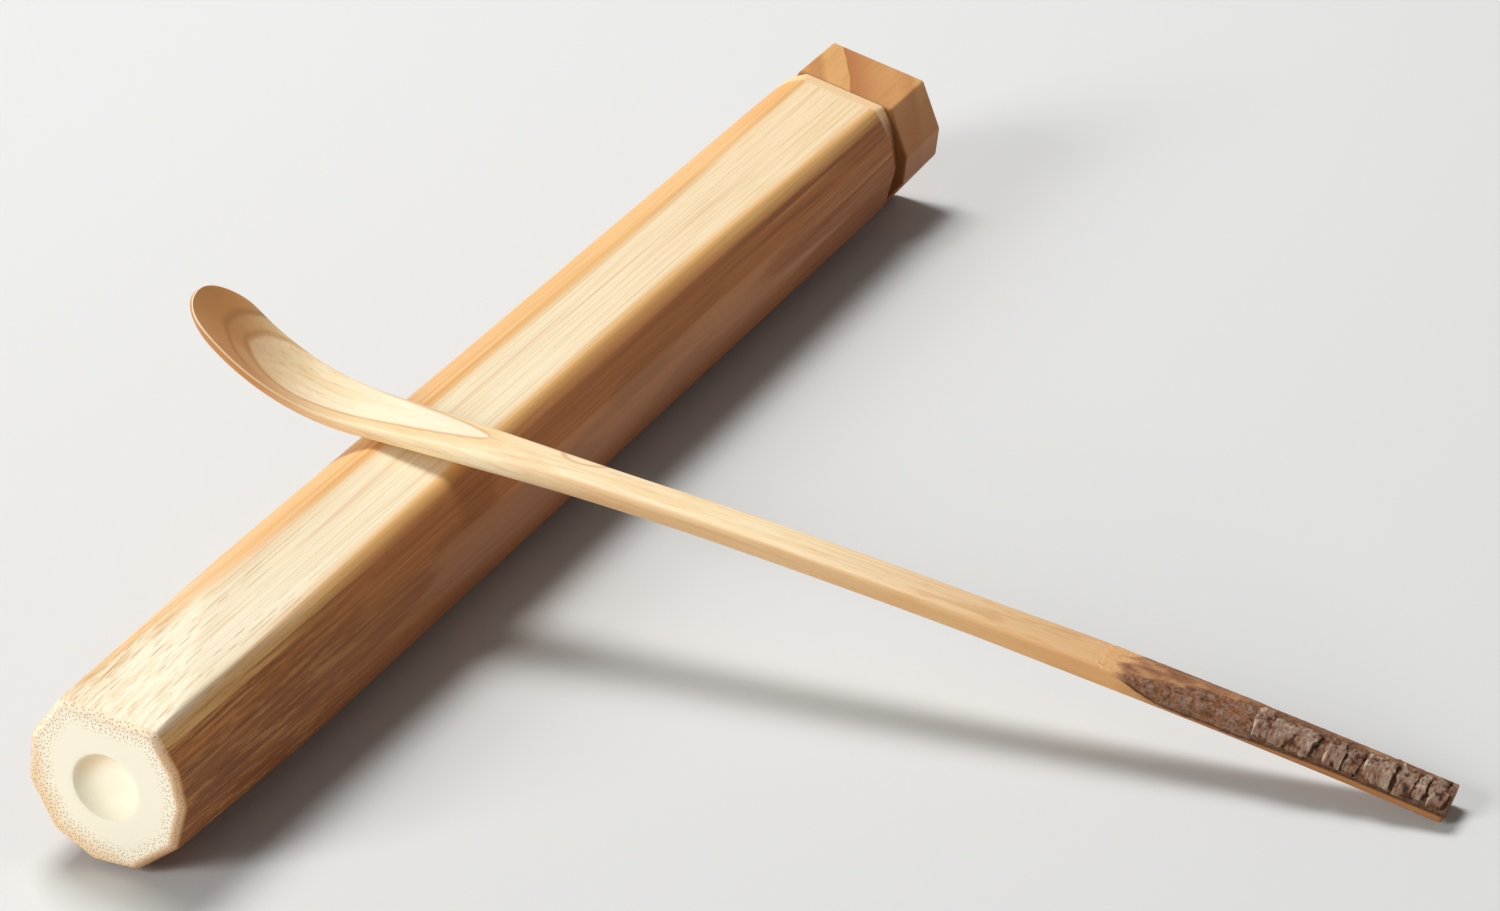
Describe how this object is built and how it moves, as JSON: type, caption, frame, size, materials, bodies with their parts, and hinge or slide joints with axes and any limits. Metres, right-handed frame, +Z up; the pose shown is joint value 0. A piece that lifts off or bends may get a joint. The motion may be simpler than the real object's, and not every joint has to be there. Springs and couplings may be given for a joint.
{
  "type": "tea scoop with storage case",
  "caption": "Carved wooden tea scoop with bark left on its handle, lying across its bamboo storage case. The case's many-sided wooden stopper pulls out and the scoop lifts off.",
  "frame": {"origin": "middle of the flat along the underside of the case that the case lies on", "axes": "+Z up, +Y along the case from its closed end to its stopper, +X towards the end of the scoop's handle"},
  "size_m": [0.1795, 0.2291, 0.041],
  "materials": {
    "scoop_wood": "satin, burnished by hand",
    "inner_bark": "smooth, matt",
    "outer_bark": "rough, cracked",
    "bamboo": "planed, unfinished",
    "stopper_wood": "knife cut, unfinished"
  },
  "bodies": {
    "case": {"case_tube": "bamboo"},
    "stopper": {"case_stopper": "stopper_wood"},
    "scoop": {"scoop": "scoop_wood", "scoop_bark": "inner_bark", "bark_plates": "outer_bark"}
  },
  "joints": [
    {"name": "stopper_pull", "type": "slide", "parent": "case", "child": "stopper", "axis": [0, 1, 0], "range_m": [0, 0.06]},
    {"name": "scoop_lift", "type": "slide", "parent": "case", "child": "scoop", "axis": [0, 0, 1], "range_m": [0, 0.06]}
  ]
}
